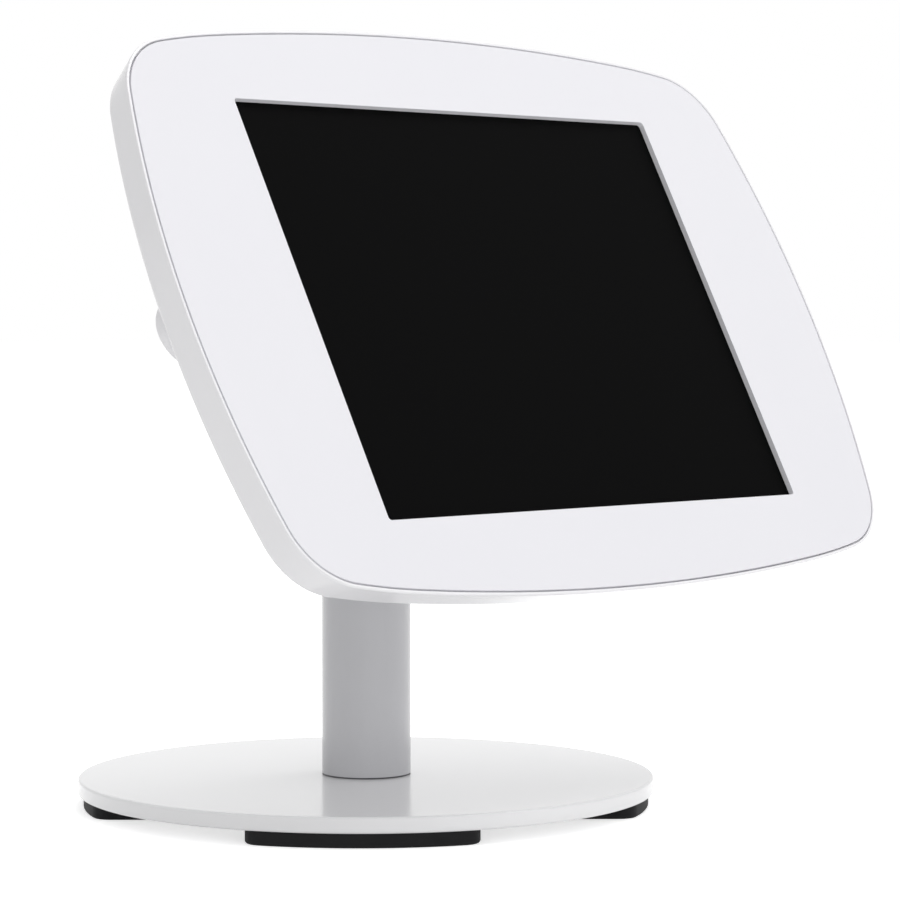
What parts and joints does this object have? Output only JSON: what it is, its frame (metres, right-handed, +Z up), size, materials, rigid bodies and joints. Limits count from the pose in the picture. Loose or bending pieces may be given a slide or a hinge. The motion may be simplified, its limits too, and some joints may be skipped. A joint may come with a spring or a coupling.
{
  "type": "countertop tablet kiosk",
  "caption": "Countertop tablet kiosk: bowed enclosure with a lift-off face plate and cam lock, on a bent tube post that swivels on a round base with rubber feet.",
  "frame": {"origin": "on the swivel axis at the underside of the base plate, the mouth of the cable bore; the rubber feet reach 5 mm below it", "axes": "+Z up along the swivel axis; the screen faces -Y; +X is to the right of a person who looks at the screen"},
  "size_m": [0.301, 0.2259, 0.266],
  "materials": {
    "white_steel": "smooth satin white powder coat",
    "grey_steel": "smooth satin light grey powder coat",
    "white_shell": "satin white moulded plastic",
    "white_face": "matte off-white sheet",
    "black_rubber": "matte black rubber",
    "turned_steel": "fine turned steel",
    "zinc_steel": "bright zinc plated steel",
    "grey_acetal": "dark grey bearing plastic",
    "housing_aluminium": "fine blasted aluminium",
    "lock_chrome": "satin chrome on brass",
    "black_glass": "black cover glass, satin, no reflections showing",
    "display": "dark display laminate",
    "battery": "black pouch cells",
    "circuit_board": "green solder mask",
    "dark_foam": "soft closed-cell foam"
  },
  "bodies": {
    "base": {"base_plate": "white_steel", "foot_rear_right": "black_rubber", "foot_rear_left": "black_rubber", "foot_front_left": "black_rubber", "foot_front_right": "black_rubber", "swivel_spigot": "turned_steel", "base_dowel": "turned_steel", "base_nut": "zinc_steel", "wear_ring": "grey_acetal", "stop_collar": "turned_steel", "swivel_nut": "zinc_steel"},
    "head": {"post_tube": "grey_steel", "bearing_housing": "housing_aluminium", "lower_bush": "grey_acetal", "upper_bush": "grey_acetal", "stop_pin": "turned_steel", "hub_plate": "grey_steel", "hub_collar": "grey_steel", "collar_set_screws": "zinc_steel", "hub_screws": "zinc_steel", "rear_shell": "white_shell", "lock_barrel": "lock_chrome", "lock_nut": "zinc_steel", "tablet_back": "housing_aluminium", "tablet_glass": "black_glass", "display_panel": "display", "battery_pack": "battery", "main_board": "circuit_board", "cushion_bottom_left": "dark_foam", "cushion_bottom_right": "dark_foam", "cushion_top_left": "dark_foam", "cushion_top_right": "dark_foam"},
    "face": {"face_plate": "white_face", "lock_keeper": "turned_steel"},
    "lock": {"lock_plug": "lock_chrome", "lock_cam": "turned_steel", "cam_screw": "zinc_steel"}
  },
  "joints": [
    {"name": "head_swivel", "type": "hinge", "parent": "base", "child": "head", "pos_m": [0, 0, 0], "axis": [0, 0, 1], "range_deg": [-165, 165]},
    {"name": "face_plate_lift", "type": "slide", "parent": "head", "child": "face", "axis": [0, -0.8813, 0.4726], "range_m": [0, 0.06]},
    {"name": "lock_turn", "type": "hinge", "parent": "head", "child": "lock", "pos_m": [-0.1335, -0.06769, 0.16477], "axis": [0, -0.8813, 0.4726], "range_deg": [0, 90]}
  ]
}
